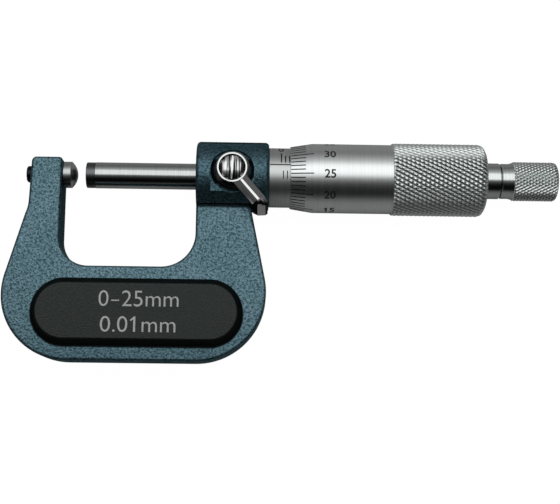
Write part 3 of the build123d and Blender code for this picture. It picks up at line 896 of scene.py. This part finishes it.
# The finger end is drawn a little long and its rim ground well round; the hub's rim stays crisp.
TOE_END_Y, TOE_EXTRA, TOE_ROUND, HUB_ROUND, EDGE_ROUND = -9.6, Vector((0, -0.38, -0.58)), 0.5, 0.05, 0.13
for v in lever.data.vertices:
    v.select = v.co.y < TOE_END_Y * MM
    if v.select:
        v.co += TOE_EXTRA * MM
bpy.ops.object.mode_set(mode="EDIT")
bpy.ops.mesh.select_mode(type="EDGE")
bpy.ops.mesh.bevel(offset=TOE_ROUND * MM, segments=4, affect="EDGES")
bpy.ops.mesh.select_all(action="DESELECT")
bpy.ops.object.mode_set(mode="OBJECT")


def on_hub_rim(point):
    from_axis = (point.xy - Vector((LOCK_X * MM, 0))).length
    return point.z > (HUB_TOP - 0.1) * MM and from_axis < (RIM_BORE_R + 0.1) * MM


for edge in lever.data.edges:
    edge.select = all(on_hub_rim(lever.data.vertices[i].co) for i in edge.vertices)
bpy.ops.object.mode_set(mode="EDIT")
bpy.ops.mesh.bevel(offset=HUB_ROUND * MM, segments=4, affect="EDGES")
bpy.ops.mesh.select_mode(type="VERT")
bpy.ops.object.mode_set(mode="OBJECT")
round_edges(lever, EDGE_ROUND, 3, 24)
crisp(lever, 40)

TOE_SHADE_Y, TOE_SHADE_LEFT_Y, LEFTWARD, TOP_SPREAD = -8.4, -6.6, -0.3, 14
toe_faces = [face for face in lever.data.polygons
             if face.center.y < TOE_SHADE_Y * MM and face.normal.z > 0.2 and abs(face.normal.x) < 0.3]
toe_top = max(toe_faces, key=lambda face: face.area).normal.copy()


def is_bared(face):
    """Whether a face is on the finger end but not on its flat top, which keeps its chrome; such faces get the
    painted shade.
    """
    starts = TOE_SHADE_LEFT_Y if face.normal.x < LEFTWARD else TOE_SHADE_Y
    return face.center.y < starts * MM and face.normal.dot(toe_top) < cos(radians(TOP_SPREAD))


dress(lever, chrome)
redress(lever, toe_painted_shade, is_bared)
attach(lever, "lever_body")
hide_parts("lock_lever")

# The screw's chrome was brushed in one direction; bright and dark streaks of the room's reflection are
# painted into its colour.
streaked, tree, shader, place = new_material("brushed_chrome_painted_streaks", "#C9CACA", 1.0, 0.16)
streaks = lined(tree, place, 0.45, 5, 1.0)
feed(shader, "Base Color", ramp(tree, streaks, [(0.42, "#3A3B3C"), (0.56, "#E2E3E2")]))

SCREW_FOOT, SCREW_TOP, SCREW_R, DOME_CURVE, DOME_STEPS = 10.52, 12.2, 2.84, 6.5, 10
SLOT_WIDE, SLOT_LONG, SLOT_DEEP, SLOT_DEG = 0.56, 7, 0.7, -5
edge_angle = degrees(asin(SCREW_R / DOME_CURVE))
head = arc(SCREW_TOP - DOME_CURVE, 0, DOME_CURVE, edge_angle, 0, DOME_STEPS)
screw = turned("slotted_dome_screw", [(SCREW_FOOT, 0), (SCREW_FOOT, SCREW_R)] + head, 96, LOCK_X)
deselect()
bpy.ops.mesh.primitive_cube_add(
    size=1, location=(LOCK_X * MM, 0, SCREW_TOP * MM), rotation=(0, 0, radians(SLOT_DEG)),
    scale=(SLOT_WIDE * MM, SLOT_LONG * MM, 2 * SLOT_DEEP * MM))
cut_away(screw, bpy.context.object)
smooth(screw)
dress(screw, streaked)
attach(screw, "lever_body")
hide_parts("lock_screw")

brass = speckled("turned_brass", "#C9A55E", 1.0, 0.28, 0.4, 2.0, [(0.3, "#A8853F"), (0.7, "#CDAA63")])[0]
dress(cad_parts["lock_pad"], brass)


# Studio
# A pale floor, one long softbox over the object and a dim room; the background is white.
# The camera stands where the photograph was taken from, nine degrees off square to the plate.

deselect()
bpy.ops.mesh.primitive_plane_add(size=4, location=(0.05, 0, cad_box[0].z - 0.02 * MM))
floor = bpy.context.object
floor.name = "studio_floor"
# White paper, of which the camera sees mostly the white of the background, with a faint shadow.
SEEN_WHITE, MIRRORED_WHITE, PAPER_GLOW = 0.86, 0.03, 1.15
floor_paper, tree, shader, place = new_material("white_paper_floor", "#A9A9A7", 0.0, 0.9)
rays = node(tree, "LightPath").outputs
mirrored = maths(tree, "ADD", maths(tree, "MULTIPLY", rays["Is Glossy Ray"], MIRRORED_WHITE),
                 maths(tree, "MULTIPLY", rays["Is Transmission Ray"], MIRRORED_WHITE))
seen = maths(tree, "MULTIPLY", rays["Is Camera Ray"], SEEN_WHITE)
share = maths(tree, "ADD", seen, mirrored, clamp=True)
white = node(tree, "Emission", {"Color": (1, 1, 1, 1), "Strength": PAPER_GLOW}).outputs[0]
blend = node(tree, "MixShader", {0: share, 1: shader.outputs[0], 2: white}).outputs[0]
tree.links.new(blend, tree.nodes["Material Output"].inputs["Surface"])
dress(floor, floor_paper)

# The room is a band of greys round the spindle's axis, darker towards both of its ends.
room = bpy.data.worlds.new("dim_room")
bpy.context.scene.world = room
room.use_nodes = True
tree = room.node_tree
tree.nodes.clear()
way = node(tree, "SeparateXYZ", {0: node(tree, "TexCoord").outputs["Generated"]}).outputs
turn = remap(tree, maths(tree, "ARCTAN2", way["Y"], way["Z"]), (-pi, pi))


def at(angle):
    """Ramp position of a direction, in degrees from straight up towards the back."""
    return 0.5 + angle / 360


walls = ramp(tree, turn, [
    (0.0, "#7C7C7C"), (at(-120), "#707070"), (at(-92), "#6A6A6A"), (at(-84), "#646464"),
    (at(-77), "#444444"), (at(-70), "#191919"), (at(-60), "#070707"), (at(-44), "#070707"),
    (at(-36), "#181818"), (at(-28), "#242424"), (at(-20), "#444444"), (at(-12), "#656565"),
    (at(-6), "#959595"), (at(-1), "#C4C4C4"), (at(3), "#D0D0D0"), (at(34), "#D0D0D0"),
    (at(40), "#E6E6E6"), (at(46), "#CDCDCD"), (at(54), "#ACACAC"), (at(62), "#999999"),
    (at(70), "#898989"), (at(78), "#797979"), (at(86), "#6C6C6C"), (at(96), "#666666"),
    (at(110), "#787878"), (at(125), "#868686"), (1.0, "#7C7C7C")])
aside = maths(tree, "ABSOLUTE", way["X"])
walls = mix(tree, remap(tree, aside, (0.45, 0.8), kind="SMOOTHSTEP"), walls, "#585858")
walls = mix(tree, remap(tree, aside, (0.86, 0.96)), walls, "#1C1C1C")
dim = node(tree, "Background", {"Color": walls, "Strength": 1.0}).outputs[0]
bright = node(tree, "Background", {"Color": (1, 1, 1, 1), "Strength": 1.0}).outputs[0]
from_camera = node(tree, "LightPath").outputs["Is Camera Ray"]
mixed = node(tree, "MixShader", {0: from_camera, 1: dim, 2: bright}).outputs[0]
tree.links.new(mixed, node(tree, "OutputWorld").inputs["Surface"])

# The softbox lies along the spindle; its edges are in degrees from straight up to the back.
BOX_X, BOX_AWAY, BOX_FROM, BOX_TO, BOX_LONG, BOX_GLOW = 0.055, 0.6, -2.5, 38.0, 1.0, 0.66
middle = radians((BOX_FROM + BOX_TO) / 2)
box_wide = 2 * BOX_AWAY * tan(radians((BOX_TO - BOX_FROM) / 2))
softbox_data = bpy.data.lights.new("softbox", "AREA")
softbox_data.shape = "RECTANGLE"
softbox_data.size = BOX_LONG
softbox_data.size_y = box_wide
softbox_data.energy = BOX_GLOW * pi * BOX_LONG * box_wide
softbox = bpy.data.objects.new("softbox", softbox_data)
bpy.context.scene.collection.objects.link(softbox)
softbox.location = (BOX_X, BOX_AWAY * sin(middle), BOX_AWAY * cos(middle))
softbox.rotation_euler = (-middle, 0, 0)

CAMERA_AT = Vector((44.40, -65.67, 296.24)) * MM
LOOK = Vector((0.02066, 0.15640, -0.98748)).normalized()
ROLL = radians(0.61)
SENSOR_WIDTH, PHOTO_WIDTH, FOCAL_PIXELS = 36.0, 560, 1209.0
right = LOOK.cross(Vector((0, 1, 0))).normalized()
up = right.cross(LOOK)
rolled_right = cos(ROLL) * right + sin(ROLL) * up
rolled_up = cos(ROLL) * up - sin(ROLL) * right
camera_data = bpy.data.cameras.new("camera")
camera_data.sensor_width = SENSOR_WIDTH
camera_data.lens = FOCAL_PIXELS / PHOTO_WIDTH * SENSOR_WIDTH
camera_data.clip_start = 0.01
camera = bpy.data.objects.new("camera", camera_data)
bpy.context.scene.collection.objects.link(camera)
turned_to = Matrix((rolled_right, rolled_up, -LOOK)).transposed().to_4x4()
camera.matrix_world = Matrix.Translation(CAMERA_AT) @ turned_to
bpy.context.scene.camera = camera
bpy.context.scene.view_settings.view_transform = "Standard"
